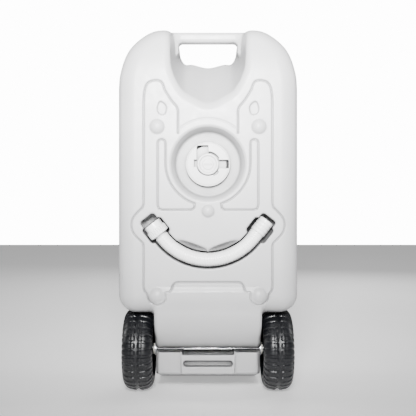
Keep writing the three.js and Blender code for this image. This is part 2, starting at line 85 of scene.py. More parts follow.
def add_light(name, location, target, size, power, spread=180, shines=False):
    """An area light aimed at a target; shines lets it show in glossy surfaces"""
    data = bpy.data.lights.new(name, "AREA")
    data.shape = "RECTANGLE"
    data.size, data.size_y = size
    data.energy = power
    data.spread = math.radians(spread)
    light = bpy.data.objects.new(name, data)
    light.location = location
    light.rotation_euler = (Vector(target) - Vector(location)).to_track_quat("-Z", "Y").to_euler()
    light.visible_camera = False
    light.visible_glossy = shines
    bpy.context.collection.objects.link(light)


def add_world(lighting, backdrop):
    """An even white room: dim as a light, and bright where it is seen behind the object"""
    world = bpy.data.worlds.new("studio")
    bpy.context.scene.world = world
    world.use_nodes = True
    tree = world.node_tree
    room = tree.nodes["Background"]
    room.inputs["Strength"].default_value = lighting
    seen = tree.nodes.new("ShaderNodeBackground")
    seen.inputs["Strength"].default_value = backdrop
    for shader in (room, seen):
        shader.inputs["Color"].default_value = (1, 1, 1, 1)
    path = tree.nodes.new("ShaderNodeLightPath")
    mix = tree.nodes.new("ShaderNodeMixShader")
    tree.links.new(path.outputs["Is Camera Ray"], mix.inputs["Fac"])
    tree.links.new(room.outputs["Background"], mix.inputs[1])
    tree.links.new(seen.outputs["Background"], mix.inputs[2])
    tree.links.new(mix.outputs["Shader"], tree.nodes["World Output"].inputs["Surface"])


def add_studio():
    """Soft studio light, mostly from the front, a plain world and the floor"""
    add_light("key", (-0.05, -1.65, 1.05), (0, -0.1, 0.8), (0.3, 0.5), 21, 56, True)
    add_light("low_box", (0, -2.2, 0.52), (0, 0, 0.2), (0.2, 0.2), 1.1, 60, True)
    add_light("top", (0, 0.45, 1.6), (0, 0, 0.7), (0.9, 0.6), 2.5)
    add_light("back_box", (0.5, 2.3, 1.5), (0, 0, 0.4), (1.4, 1.0), 34)
    for side in (-1, 1):
        add_light("side_box", (side * 1.6, 0.1, 1.0), (0, 0, 0.6), (0.3, 0.9), 3, 90, True)
    add_world(0.08, 14.0)
    floor = new_mesh_object("floor", [(-4, -4, 0), (4, -4, 0), (4, 6, 0), (-4, 6, 0)], [(0, 1, 2, 3)])
    floor.data.materials.append(floor_material())


# ---------------------------------------------------------------- materials

def material_base(name, colour, roughness, metallic=0.0):
    """A new material, with its node tree and its shader"""
    material = bpy.data.materials.new(name)
    material.use_nodes = True
    tree = material.node_tree
    shader = tree.nodes["Principled BSDF"]
    shader.inputs["Base Color"].default_value = (*colour, 1)
    shader.inputs["Roughness"].default_value = roughness
    shader.inputs["Metallic"].default_value = metallic
    return material, tree, shader


def noise_node(tree, scale, detail=3.0, roughness=0.5, stretch=(1, 1, 1)):
    """A noise texture in object space"""
    place = tree.nodes.new("ShaderNodeTexCoord")
    mapping = tree.nodes.new("ShaderNodeMapping")
    mapping.inputs["Scale"].default_value = stretch
    noise = tree.nodes.new("ShaderNodeTexNoise")
    noise.inputs["Scale"].default_value = scale
    noise.inputs["Detail"].default_value = detail
    noise.inputs["Roughness"].default_value = roughness
    tree.links.new(place.outputs["Object"], mapping.inputs["Vector"])
    tree.links.new(mapping.outputs["Vector"], noise.inputs["Vector"])
    return noise.outputs["Fac"]


def ramp(tree, factor, stops):
    """A colour ramp of grey stops"""
    node = tree.nodes.new("ShaderNodeValToRGB")
    node.color_ramp.elements[0].position = stops[0][0]
    node.color_ramp.elements[0].color = (*stops[0][1], 1)
    node.color_ramp.elements[1].position = stops[-1][0]
    node.color_ramp.elements[1].color = (*stops[-1][1], 1)
    tree.links.new(factor, node.inputs["Fac"])
    return node.outputs["Color"]


def map_range(tree, value, low, high):
    """The value, from 0 to 1, brought between low and high"""
    node = tree.nodes.new("ShaderNodeMapRange")
    node.inputs["From Min"].default_value = 0.3
    node.inputs["From Max"].default_value = 0.7
    node.inputs["To Min"].default_value = low
    node.inputs["To Max"].default_value = high
    tree.links.new(value, node.inputs["Value"])
    return node.outputs["Result"]


def add_bump(tree, shader, layers):
    """layers are (height output, strength, distance in metres), added one on another"""
    previous = None
    for height, strength, distance in layers:
        bump = tree.nodes.new("ShaderNodeBump")
        bump.inputs["Strength"].default_value = strength
        bump.inputs["Distance"].default_value = distance
        tree.links.new(height, bump.inputs["Height"])
        if previous is not None:
            tree.links.new(previous, bump.inputs["Normal"])
        previous = bump.outputs["Normal"]
    tree.links.new(previous, shader.inputs["Normal"])


def paint_corner_shade(tree, colour, depth):
    """The colour with painted shade: darker in narrow corners and recesses, by how closely other surfaces
    crowd round
    """
    corners = tree.nodes.new("ShaderNodeAmbientOcclusion")
    corners.samples = 8
    corners.inputs["Distance"].default_value = 0.03
    shade = ramp(tree, corners.outputs["AO"], [(0.38, (1 - depth,) * 3), (0.94, (1, 1, 1))])
    mix = tree.nodes.new("ShaderNodeMix")
    mix.data_type = "RGBA"
    mix.blend_type = "MULTIPLY"
    mix.inputs["Factor"].default_value = 1.0
    tree.links.new(colour, mix.inputs[6])
    tree.links.new(shade, mix.inputs[7])
    return mix.outputs[2]


def moulded_plastic(name, colour, roughness, spread=0.03, grain=900.0, grain_strength=0.12,
                    waves=0.25, painted_shade=0.0):
    """Moulded plastic: a fine grain, long shallow waves in the wall, small changes of shade and gloss, and
    where asked painted shade darkening its corners and recesses
    """
    material, tree, shader = material_base(name, colour, roughness[0])
    clouds = noise_node(tree, 7.0, 4.0)
    darker = tuple(c * (1 - spread) for c in colour)
    lighter = tuple(min(1.0, c * (1 + spread)) for c in colour)
    shade = ramp(tree, clouds, [(0.35, darker), (0.65, lighter)])
    # Painted shade: where asked, the colour is darkened in corners and recesses
    tree.links.new(paint_corner_shade(tree, shade, painted_shade) if painted_shade else shade, shader.inputs["Base Color"])
    tree.links.new(map_range(tree, noise_node(tree, 60.0, 4.0), *roughness), shader.inputs["Roughness"])
    layers = [(noise_node(tree, 9.0, 1.0), waves, 0.002),
              (noise_node(tree, grain, 2.0), grain_strength, 0.0002)]
    add_bump(tree, shader, layers)
    return material


def plain_metal(name, colour, roughness, stretch):
    """Drawn or rolled metal with fine lines along it"""
    material, tree, shader = material_base(name, colour, roughness[0], 1.0)
    lines = noise_node(tree, 400.0, 3.0, 0.6, stretch)
    tree.links.new(map_range(tree, lines, *roughness), shader.inputs["Roughness"])
    patches = noise_node(tree, 120.0, 3.0)
    darker = tuple(c * 0.88 for c in colour)
    tree.links.new(ramp(tree, patches, [(0.3, darker), (0.7, colour)]), shader.inputs["Base Color"])
    add_bump(tree, shader, [(lines, 0.15, 0.0001)])
    return material


def floor_material():
    """Plain pale floor, partly self-lit"""
    material, tree, shader = material_base("floor", (0.86, 0.86, 0.86), 0.8)
    shader.inputs["Emission Color"].default_value = (1, 1, 1, 1)
    shader.inputs["Emission Strength"].default_value = 0.4
    shade = noise_node(tree, 3.0)
    tree.links.new(ramp(tree, shade, [(0.3, (0.84, 0.84, 0.84)), (0.7, (0.88, 0.88, 0.88))]),
                   shader.inputs["Base Color"])
    return material


def make_materials():
    """One material for each slot of the record"""
    return {
        "shell": moulded_plastic("shell", (0.47, 0.47, 0.475), (0.36, 0.46), painted_shade=0.8),
        "cap": moulded_plastic("cap", (0.58, 0.58, 0.58), (0.34, 0.44), grain_strength=0.08,
                               waves=0.1, painted_shade=0.65),
        "hose": moulded_plastic("hose", (0.94, 0.94, 0.94), (0.2, 0.32), 0.02, 500.0, 0.05, 0.2, 0.2),
        "hose_fitting": moulded_plastic("hose_fitting", (0.9, 0.9, 0.9), (0.22, 0.32),
                                        0.02, 700.0, 0.05, 0.1, 0.4),
        "wheel_plastic": moulded_plastic("wheel_plastic", (0.004, 0.0045, 0.006), (0.34, 0.42),
                                         0.2, 700.0, 0.03, 0.02),
        "zinc": plain_metal("zinc", (0.80, 0.80, 0.82), (0.25, 0.4), (1, 1, 1)),
        "axle_steel": plain_metal("axle_steel", (0.82, 0.82, 0.84), (0.12, 0.28), (0.05, 1, 1)),
        "seal_rubber": moulded_plastic("seal_rubber", (0.02, 0.02, 0.02), (0.6, 0.8), 0.2, 600.0, 0.1),
        "bush_plastic": moulded_plastic("bush_plastic", (0.75, 0.73, 0.66), (0.4, 0.5)),
    }


# ---------------------------------------------------------------- mesh helpers

def new_mesh_object(name, verts, faces, smooth_angle=None):
    """A mesh object from points and faces"""
    mesh = bpy.data.meshes.new(name)
    mesh.from_pydata([tuple(v) for v in verts], [], [tuple(f) for f in faces])
    mesh.update()
    obj = bpy.data.objects.new(name, mesh)
    bpy.context.collection.objects.link(obj)
    if smooth_angle is not None:
        mesh.shade_smooth()
        mesh.set_sharp_from_angle(angle=math.radians(smooth_angle))
    return obj


def finish_piece(obj, node):
    """The piece stands for the CAD node: it rides on its body and has its slot and its material"""
    slot = SLOTS[node]
    obj.data.materials.clear()
    obj.data.materials.append(materials[slot])
    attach(obj, BODIES[node])
    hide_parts(node)
    return obj


def rounded(points, radius, steps=3):
    """A closed profile with its corners rounded. A point is (radius, along, relief weights ...)"""
    pts = np.array(points, float)
    line = []
    for before, corner, after in zip(np.roll(pts, 1, axis=0), pts, np.roll(pts, -1, axis=0)):
        back, on = before - corner, after - corner
        back_length, on_length = np.hypot(*back[:2]), np.hypot(*on[:2])
        start = corner + back * min(radius / back_length, 0.45)
        end = corner + on * min(radius / on_length, 0.45)
        for t in np.linspace(0, 1, steps + 1):
            line.append((1 - t) ** 2 * start + 2 * t * (1 - t) * corner + t ** 2 * end)
    return np.array(line)


def grid_object(name, points):
    """A closed mesh over a grid of points that wraps round in both directions"""
    rows, columns = points.shape[:2]
    at = np.arange(rows * columns).reshape(rows, columns)
    down, across = np.roll(at, -1, axis=0), np.roll(at, -1, axis=1)
    corner = np.roll(down, -1, axis=1)
    faces = np.stack([at, down, corner, across], axis=2).reshape(-1, 4)
    obj = new_mesh_object(name, points.reshape(-1, 3) * MM, faces.tolist())
    work = bmesh.new()
    work.from_mesh(obj.data)
    bmesh.ops.remove_doubles(work, verts=work.verts, dist=1e-6)
    bmesh.ops.recalc_face_normals(work, faces=work.faces)
    work.to_mesh(obj.data)
    work.free()
    obj.data.shade_smooth()
    obj.data.set_sharp_from_angle(angle=math.radians(32))
    return obj


def turned_piece(node, profile, segments, place, reliefs=()):
    """A closed profile turned about an axis. Each relief sinks the surface by its depth at an angle
    times the profile's weight for it."""
    theta = np.linspace(0, 2 * math.pi, segments, endpoint=False)
    edge = np.roll(profile[:, :2], -1, axis=0) - np.roll(profile[:, :2], 1, axis=0)
    area = np.sum(profile[:, 0] * np.roll(profile[:, 1], -1) - np.roll(profile[:, 0], -1) * profile[:, 1])
    normal = np.stack([edge[:, 1], -edge[:, 0]], axis=1) * (1 if area > 0 else -1)
    normal /= np.maximum(np.linalg.norm(normal, axis=1, keepdims=True), 1e-9)
    sunk = np.zeros((len(profile), segments))
    for number, relief in enumerate(reliefs):
        sunk += profile[:, 2 + number, None] * relief(theta)[None, :]
    radius = profile[:, :1] - normal[:, :1] * sunk
    along = profile[:, 1:2] - normal[:, 1:2] * sunk
    placed = place(radius * np.cos(theta), radius * np.sin(theta), along + 0 * theta)
    points = np.stack([np.broadcast_to(axis, radius.shape) for axis in placed], axis=2)
    return finish_piece(grid_object(node + "_turned", points), node)


def on_axle(side):
    """Where a turned profile's point lies on the axle, on the side given"""
    return lambda u, v, a: (side * a, AXLE_Y + u, AXLE_Z + v)


def on_cap(u, v, a):
    """Where a turned profile's point lies on the cap's axis"""
    return u, FACE_Y + a, CAP_Z + v


def on_hose_end(side):
    """Beyond the end of the hose's arc, along its straight end"""
    along, across = math.cos(HOSE_TURN), math.sin(HOSE_TURN)
    x, z = HOSE_ARC * across, HOSE_BOTTOM + HOSE_ARC * (1 - along)
    return lambda u, v, a: (side * (x + along * a - across * u), FACE_Y + HOSE_DEPTH + v,
                            z + across * a + along * u)


def smooth_step(value, low, high):
    """0 below low, 1 above high, and smooth between them"""
    t = np.clip((value - low) / (high - low), 0, 1)
    return t * t * (3 - 2 * t)


def repeated(count, depth, gap=0.5, soft=0.25, phase=0.0):
    """A relief with the count of hollows, each that share of its pitch wide, between raised ribs"""
    def relief(theta):
        wave = 0.5 + 0.5 * np.cos(count * theta + phase)
        return depth * smooth_step(wave, 1 - gap - soft / 2, 1 - gap + soft / 2)
    return relief


# ---------------------------------------------------------------- distance-field helpers

def round_max(a, b, r):
    """Where both solids are: the edge between them is rounded to radius r"""
    corner = np.sqrt(np.maximum(a + r, 0) ** 2 + np.maximum(b + r, 0) ** 2)
    return np.minimum(np.maximum(a, b), -r) + corner


def round_min(a, b, r):
    """Where either solid is: the corner between them is filled to radius r"""
    return -round_max(-a, -b, r)


def cut(a, b, r):
    """The field a with b taken away, rounded by r"""
    return round_max(a, -b, r)


def spline(points, steps):
    """A smooth line through the points"""
    pts = np.array(points, float)
    padded = np.vstack([2 * pts[0] - pts[1], pts, 2 * pts[-1] - pts[-2]])
    line = []
    for i in range(1, len(padded) - 2):
        p0, p1, p2, p3 = padded[i - 1:i + 3]
        for t in np.linspace(0, 1, steps, endpoint=False):
            line.append(0.5 * (2 * p1 + (p2 - p0) * t + (2 * p0 - 5 * p1 + 4 * p2 - p3) * t ** 2
                               + (3 * p1 - p0 - 3 * p2 + p3) * t ** 3))
    line.append(pts[-1])
    return np.array(line)


def symmetric_spline(points, steps):
    """A smooth line that crosses x = 0 level, so that its mirror image meets it without a corner"""
    x, z = points[1]
    return spline([(-x, z)] + points, steps)[steps:]


def arc_points(centre, radius, start, end, steps):
    """Points along an arc, with its angles in degrees"""
    angles = np.radians(np.linspace(start, end, steps))
    return [(centre[0] + radius * math.cos(a), centre[1] + radius * math.sin(a)) for a in angles]


def line_distance(u, v, points, closed=False):
    """Distance in a plane from each (u, v) to a line through the points"""
    pts = list(points) + ([points[0]] if closed else [])
    best = np.full(np.broadcast(u, v).shape, 1e6, np.float32)
    for (ax, ay), (bx, by) in zip(pts[:-1], pts[1:]):
        dx, dy = bx - ax, by - ay
        length = dx * dx + dy * dy
        if length < 1e-9:
            continue
        t = np.clip(((u - ax) * dx + (v - ay) * dy) / length, 0, 1)
        best = np.minimum(best, (u - ax - t * dx) ** 2 + (v - ay - t * dy) ** 2)
    return np.sqrt(best)


def shape_distance(u, v, points):
    """Signed distance in a plane to a closed outline, negative inside"""
    inside = np.zeros(np.broadcast(u, v).shape, bool)
    pts = list(points)
    for (ax, ay), (bx, by) in zip(pts, pts[1:] + pts[:1]):
        if ay == by:
            continue
        crosses = (ay > v) != (by > v)
        inside ^= crosses & (u < ax + (v - ay) * (bx - ax) / (by - ay))
    distance = line_distance(u, v, pts, closed=True)
    return np.where(inside, -distance, distance)


def mirror_outline(right):
    """The right half of an outline and its mirror image"""
    return list(right) + [(-x, z) for x, z in reversed(right)]


def surface_net(field, xs, ys, zs):
    """Vertices and quads of the field's zero surface on a box grid"""
    inside = field < 0
    corners = [(i, j, k) for i in (0, 1) for j in (0, 1) for k in (0, 1)]
    shape = tuple(n - 1 for n in field.shape)
    count = np.zeros(shape, np.int8)
    for i, j, k in corners:
        count += inside[i:i + shape[0], j:j + shape[1], k:k + shape[2]]
    active = np.argwhere((count > 0) & (count < 8))
    index = np.full(shape, -1, np.int32)
    index[tuple(active.T)] = np.arange(len(active))
    total = np.zeros((len(active), 3))
    hits = np.zeros(len(active))
    axes = (xs, ys, zs)
    for axis in range(3):
        others = [a for a in range(3) if a != axis]
        for p in (0, 1):
            for q in (0, 1):
                start = active.copy()
                start[:, others[0]] += p
                start[:, others[1]] += q
                end = start.copy()
                end[:, axis] += 1
                a = field[tuple(start.T)]
                b = field[tuple(end.T)]
                crossed = (a < 0) != (b < 0)
                t = np.where(crossed, a / np.where(crossed, a - b, 1), 0)
                point = np.stack([axes[c][start[:, c]] for c in range(3)], axis=1)
                step = axes[axis][end[:, axis]] - axes[axis][start[:, axis]]
                point[:, axis] += t * step
                total += point * crossed[:, None]
                hits += crossed
    verts = total / hits[:, None]
    quads = []
    for axis in range(3):
        u, v = [a for a in range(3) if a != axis]
        if axis == 1:
            u, v = v, u
        lower = [slice(None)] * 3
        upper = [slice(None)] * 3
        lower[axis], upper[axis] = slice(0, -1), slice(1, None)
        for other in (u, v):
            lower[other] = upper[other] = slice(1, -1)
        low, high = inside[tuple(lower)], inside[tuple(upper)]
        at = np.argwhere(low != high)
        outward = low[tuple(at.T)]
        at[:, u] += 1
        at[:, v] += 1
        ring = []
        for du, dv in ((-1, -1), (0, -1), (0, 0), (-1, 0)):
            cell = at.copy()
            cell[:, u] += du
            cell[:, v] += dv
            ring.append(index[tuple(cell.T)])
        ring = np.stack(ring, axis=1)
        quads.append(np.where(outward[:, None], ring, ring[:, ::-1]))
    return verts, np.concatenate(quads)


# ---------------------------------------------------------------- the tank shell

BODY_BOTTOM = 181.0
SIDE_ROUND = 40.0
BACK_ROUND = 52.0
FACE_TOP = 690.0
HORN_LEAN = 75.0
NECK_HALF = 117.5
NECK_CURVE = 94.5
NECK_TOP = 185.0
SEAM_Z = 96.5
ARCH_RADIUS = 98.0
HOSE_ARC = 126.0
HOSE_BOTTOM = 299.0
HOSE_TURN = math.radians(52)
HOSE_DEPTH = 17.0
HOSE_RADIUS = 15.3
HOSE_BORE = 12.5
HOSE_ENDS = (4.0, 40.0)
TRENCH_HALF = 18.5
TRENCH_END = 56.0
POCKET_HALF = 25.0
POCKET_SPAN = (2.0, 40.0)
FINGER_ANGLE = math.radians(19)
RECESS = {"edge": 81.0, "floor": 70.5, "depth": 30.0}
NECK_BORE = 42.3
GROOVE_DEPTH = 3.8
GROOVE_WIDTH = 1.7
PARTING_DEPTH = 112.0


def tank_outline():
    """The body's outline from the front"""
    right = [(0, 140.0), (HALF_WIDTH, 140.0), (HALF_WIDTH, 677.0)]
    right += list(spline([(HALF_WIDTH, 677), (195.8, 700), (191, 723), (184, 746), (174.5, 766),
                          (161.5, 783.5), (147, 799), (133, 812), (119, 820.5), (104, HEIGHT)], 5))[1:]
    right += [(0, HEIGHT)]
    return mirror_outline(right[1:-1])


def scoop_field(x, d, z):
    """The scoop between the shoulders: its outline on the face blends to its outline on the back"""
    face = symmetric_spline([(0, 635), (37, 650), (60, 669), (80, 712), (86, 770), (91, 812), (104, 880)], 6)
    back = symmetric_spline([(0, 764), (38, 772), (56, 772), (66, 787), (68, 810), (70, 820), (78, 880)], 6)
    field = np.full((x.shape[0], d.shape[1], z.shape[2]), 60.0, np.float32)
    near = z[0, 0] > 560
    for i, depth in enumerate(d[0, :, 0]):
        t = depth / DEPTH
        right = [tuple(p) for p in face * (1 - t) + back * t]
        outline = mirror_outline(right)
        field[:, i, near] = shape_distance(x[:, :, 0], z[0, :, near].T, outline) * 0.9
    return field


def hose_line(x, z):
    """How far a point on the face is from the hose's centreline, and how far beyond the arc's end"""
    centre = HOSE_BOTTOM + HOSE_ARC
    end = (HOSE_ARC * math.sin(HOSE_TURN), centre - HOSE_ARC * math.cos(HOSE_TURN))
    along = (math.cos(HOSE_TURN), math.sin(HOSE_TURN))
    beyond = (x - end[0]) * along[0] + (z - end[1]) * along[1]
    straight = np.abs((x - end[0]) * along[1] - (z - end[1]) * along[0])
    arc = np.abs(np.hypot(x, z - centre) - HOSE_ARC)
    return np.where(beyond > 0, straight, arc), beyond, straight


def hose_hollow(x, d, z):
    """The trench, the wider pocket round each fitting, and the finger scoops above the hose"""
    across, beyond, side = hose_line(x, z)
    trench = np.where(d < HOSE_DEPTH, across, np.hypot(across, d - HOSE_DEPTH)) - TRENCH_HALF
    trench = round_max(trench, beyond - TRENCH_END, 7.0)
    start, end = POCKET_SPAN
    wide = np.where(d < HOSE_DEPTH, side, np.hypot(side, d - HOSE_DEPTH)) - POCKET_HALF
    pocket = round_max(wide, np.abs(beyond - (start + end) / 2) - (end - start) / 2, 6.0)
    pivot = z - HOSE_BOTTOM - HOSE_ARC
    ring, turn = np.hypot(x, pivot), np.arctan2(x, -pivot)
    leaf = ((turn - FINGER_ANGLE) * 108 / 36) ** 2 + ((ring - 108) / 12.5) ** 2 + (d / 20) ** 2
    return round_min(np.minimum(trench, (np.sqrt(leaf) - 1) * 12), pocket, 3.0)


def face_grooves():
    """The narrow moulded lines on the face, right half, each a list of (x, z)"""
    border = [(0, 251.5), (64, 251.5)]
    border += [tuple(p) for p in spline([(64, 251.5), (72, 249.5), (76.5, 243), (79.5, 235), (84.5, 230.5),
                                         (92, 230)], 4)][1:]
    border += arc_points((110, 223), 20.5, 205, 335, 12)
    border += [tuple(p) for p in spline([(129.5, 216), (132, 226), (137, 233), (139.3, 242),
                                         (139.3, 256)], 4)][1:]
    border += [(139.3, 330)]
    border += [tuple(p) for p in spline([(139.3, 330), (142, 337), (155, 350), (163, 361), (166, 375),
                                         (163, 389), (153, 402), (142, 413), (139.3, 421)], 4)][1:]
    border += [(139.3, 620), (139.3, 640)]
    border += [tuple(p) for p in spline([(139.3, 640), (138.2, 658), (135, 674), (128, 684), (115, 688),
                                         (104, 686.5), (98, 680), (94, 668)], 5)][1:]
    border += [tuple(p) for p in spline([(94, 668), (79.5, 645), (68.5, 632), (65, 622), (65, 610)], 4)][1:]
    border += [(65, 574)]
    collar = arc_points((0, CAP_Z + 1), 97, 48, 90, 12)
    wing = arc_points((0, CAP_Z + 1), 92, 0, -72, 16)
    wing = [(92, 545), (92, 520)] + wing
    wing = wing + [(30, 412), (36, 408), (98, 408), (106, 410), (109, 418), (109, 552)]
    wing += arc_points((100.5, 552), 8.5, 0, 180, 9)
    return border, collar, wing


TEARDROP = [(89.5, 628), (91, 634), (97, 640.5), (104, 642.5), (108, 636), (110, 626), (107, 617),
            (99, 613.5), (92, 617)]
DOMES = [(110, 588, 16.2, 8.6), (0, 405.5, 14, 7.6), (110, 223, 17, 8.6)]


def face_detail(x, z):
    """How far the face is set back by its grooves and teardrop recesses, over x and z"""
    border, collar, wing = face_grooves()
    depth = GROOVE_DEPTH * np.exp(-(line_distance(x, z, border) / GROOVE_WIDTH) ** 2)
    depth = np.maximum(depth, 0.9 * np.exp(-(line_distance(x, z, collar) / GROOVE_WIDTH) ** 2))
    depth = np.maximum(depth, GROOVE_DEPTH * np.exp(
        -(line_distance(x, z, wing + wing[:1]) / GROOVE_WIDTH) ** 2))
    drop = shape_distance(x, z, [tuple(p) for p in spline(TEARDROP + TEARDROP[:1], 4)][:-1])
    return depth + 3.8 / (1 + np.exp(np.clip(drop * 2.2, -30, 30)))


def back_detail(x, z):
    """How far the back is set in by its border line and its two upright ribs' grooves"""
    border = round_max(x - 132, np.abs(z - 440) - 190, 30.0)
    upright = np.hypot(x - 62, np.maximum(np.abs(z - 440) - 140, 0))
    line = np.minimum(np.abs(border), 99)
    return GROOVE_DEPTH * (np.exp(-(line / 2.6) ** 2) + np.exp(-(upright / 5.0) ** 4))


def body_field(x, d, z):
    """The tank body, from its outline and its rounded edges"""
    t = np.clip((z - FACE_TOP) / (HEIGHT + 0.5 - FACE_TOP), 0, 1)
    set_back = HORN_LEAN * (1 - np.sqrt(1 - t ** 2))
    slope = HORN_LEAN * t / np.sqrt(np.maximum(1 - t ** 2, 0.02)) / (HEIGHT - FACE_TOP)
    front = (set_back - d) / np.sqrt(1 + slope ** 2)
    outline = shape_distance(x, z, tank_outline())
    body = round_max(round_max(outline, front, SIDE_ROUND), d - DEPTH, BACK_ROUND)
    return round_max(body, BODY_BOTTOM - z, 42.0)


def neck_field(x, d, z):
    """The neck's front rolls back to the seam; behind the seam it runs down into the base"""
    arc = np.hypot(d - NECK_CURVE, z - NECK_TOP) - NECK_CURVE
    front = np.where(z > NECK_TOP, -d, np.where(d < NECK_CURVE, arc, -NECK_CURVE))
    neck = round_max(front, SEAM_Z - z, 2.0)
    neck = round_max(neck, z - 230.0, 1.0)
    neck = round_max(neck, x - NECK_HALF + 0.02 * d, 9.0)
    return round_max(neck, d - DEPTH, 22.0)


def base_field(x, d, z):
    """The base under the neck, with its ledge and tapered rear corners"""
    panel = shape_distance(d, z, [(42, 91), (46, 44), (56, 40.5), (200, 0), (218, 0), (DEPTH, 6),
                                  (DEPTH, 91)])
    chamfer = (x - 109.5 - (d - 42) * 0.4) * 0.93
    rear = (x - 117.0 + np.maximum(d - 200, 0)) * 0.72
    base = round_max(panel, np.maximum(np.maximum(x - 117.0, rear), chamfer), 3.0)
    # The raised middle of the panel, with its slot
    raised = round_max(np.abs(x) - 61.0 + (91 - z) * 0.05, np.maximum(39.5 - d, z - 93.5), 2.0)
    raised = round_max(raised, np.maximum(44 - z, d - 60), 1.5)
    base = round_min(base, raised, 4.0)
    slot = np.hypot(np.maximum(x - 48.5, 0), z - 66.2) - 6.6
    base = cut(base, round_max(slot, d - 52.0, 3.0), 2.5)
    trunk = round_max(np.maximum(x - NECK_HALF + 2, 95.0 - d), np.maximum(z - 150, 60 - z), 2.0)
    trunk = round_max(trunk, d - DEPTH, 20.0)
    return round_min(base, trunk, 2.0)


def axle_gap(x, d, z):
    """The room round the axle and the window that shows it"""
    reach = np.hypot(d - AXLE_DEPTH, z - AXLE_Z)
    bore = reach - 5.6
    window = round_max(np.minimum(reach, np.where(d < AXLE_DEPTH, np.abs(z - AXLE_Z - 1), 99)) - 7.5,
                       x - 58, 3.0)
    seam = np.maximum(np.abs(z - 94.6) - 1.6, d - 80)
    return np.minimum(np.minimum(bore, window), seam)


def grip_field(x, d, z):
    """The grip bar across the top of the scoop"""
    bar = round_max(np.abs(d - 129) - 17, np.abs(z - 810) - 12, 9.0)
    bar = np.maximum(bar, x - 92)
    leg = round_max(round_max(np.abs(d - 129) - 16, 68.5 - x, 6.0), np.abs(z - 792) - 22, 6.0)
    return round_min(bar, np.maximum(leg, x - 92), 9.0)


def recess_field(x, d, z):
    """The cap's round recess"""
    reach = np.hypot(x, z - CAP_Z)
    fall = (RECESS["edge"] - RECESS["floor"]) * np.clip(d / RECESS["depth"], 0, 1)
    taper = (reach - RECESS["edge"] + fall) * 0.95
    return round_max(taper, d - RECESS["depth"], 3.0)


def shell_field(x, d, z):
    """The whole tank shell"""
    body = body_field(x, d, z)
    arch = np.maximum(NECK_HALF - x, np.hypot(d - AXLE_DEPTH, z - AXLE_Z) - ARCH_RADIUS)
    body = cut(body, arch, 5.0)
    field = round_min(body, neck_field(x, d, z), 13.0)
    field = np.minimum(field, base_field(x, d, z))
    field = cut(field, axle_gap(x, d, z), 1.5)
    field = cut(field, scoop_field(x, d, z), 13.0)
    field = round_min(field, grip_field(x, d, z), 7.0)
    field = field + face_detail(x, z) * (d < 40) + back_detail(x, z) * (d > 190)
    field = field + 0.5 * np.exp(-((d - PARTING_DEPTH) / 1.4) ** 2) * (z > 190)
    for cx, cz, radius, height in DOMES:
        ball = (radius ** 2 + height ** 2) / (2 * height)
        dome = np.sqrt((x - cx) ** 2 + (d - ball + height) ** 2 + (z - cz) ** 2) - ball
        field = round_min(field, dome, 0.8)
    field = cut(field, recess_field(x, d, z), 4.5)
    field = cut(field, hose_hollow(x, d, z), 3.5)
    bore = np.maximum(np.hypot(x, z - CAP_Z) - NECK_BORE, d - 60)
    chamber = round_max(round_max(x - 110, np.abs(z - 500) - 130, 20), np.abs(d - 125) - 77, 20)
    return cut(field, np.minimum(bore, chamber), 0.8)


def field_at(field, origin, step, points):
    """The field between its grid points"""
    cell = (points - origin) / step
    low = np.clip(np.floor(cell).astype(int), 0, np.array(field.shape) - 2)
    part = cell - low
    value = 0.0
    for i in (0, 1):
        for j in (0, 1):
            for k in (0, 1):
                weight = np.prod(np.where((i, j, k), part, 1 - part), axis=1)
                value = value + weight * field[low[:, 0] + i, low[:, 1] + j, low[:, 2] + k]
    return value


def field_object(name, field, origin, step, most_faces, limits):
    """The field's surface as a piece within its limits, with its shading taken from the field"""
    axes = [origin[a] + step[a] * np.arange(field.shape[a]) for a in range(3)]
    verts, quads = surface_net(field, *axes)
    obj = new_mesh_object(name, [], [])
    mesh = obj.data
    mesh.vertices.add(len(verts))
    mesh.vertices.foreach_set("co", (verts * MM).ravel())
    mesh.loops.add(quads.size)
    mesh.loops.foreach_set("vertex_index", quads.ravel().astype(np.int32))
    mesh.polygons.add(len(quads))
    mesh.polygons.foreach_set("loop_start", np.arange(0, quads.size, 4, dtype=np.int32))
    mesh.update(calc_edges=True)
    if 2 * len(quads) > most_faces:
        thinner = obj.modifiers.new("thinner", "DECIMATE")
        thinner.ratio = most_faces / (2 * len(quads))
        reduced = bpy.data.meshes.new_from_object(obj.evaluated_get(bpy.context.evaluated_depsgraph_get()))
        obj.modifiers.clear()
        obj.data = mesh = reduced
    points = np.empty(len(mesh.vertices) * 3)
    mesh.vertices.foreach_get("co", points)
    points = np.clip(points.reshape(-1, 3) / MM, *limits)
    mesh.vertices.foreach_set("co", (points * MM).ravel())
    reach = 0.5 * np.array(step)
    normal = np.empty_like(points)
    for axis in range(3):
        ahead, behind = points.copy(), points.copy()
        ahead[:, axis] += reach[axis]
        behind[:, axis] -= reach[axis]
        rise = field_at(field, origin, step, ahead) - field_at(field, origin, step, behind)
        normal[:, axis] = rise / (2 * reach[axis])
    normal /= np.maximum(np.linalg.norm(normal, axis=1, keepdims=True), 1e-9)
    mesh.shade_smooth()
    mesh.normals_split_custom_set_from_vertices(normal.tolist())
    return obj


def make_shell():
    """The tank shell as one piece"""
    step = ((1.6, 2.2, 1.6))
    right = (np.arange(0.5, HALF_WIDTH / step[0] + 3) * step[0]).astype(np.float32)
    depth = np.arange(-14, DEPTH + 8, step[1], dtype=np.float32)
    height = np.arange(-6, HEIGHT + 8, step[2], dtype=np.float32)
    half = shell_field(right[:, None, None], depth[None, :, None], height[None, None, :]).astype(np.float32)
    field = np.concatenate([half[::-1], half])
    origin = np.array([-right[-1], depth[0] + FACE_Y, height[0]], float)
    shell = field_object("tank_shell_moulding", field, origin, np.array(step), 195000,
                         (shell_low, shell_high))
    finish_piece(shell, "tank_shell")


# ---------------------------------------------------------------- filler cap and drain plug

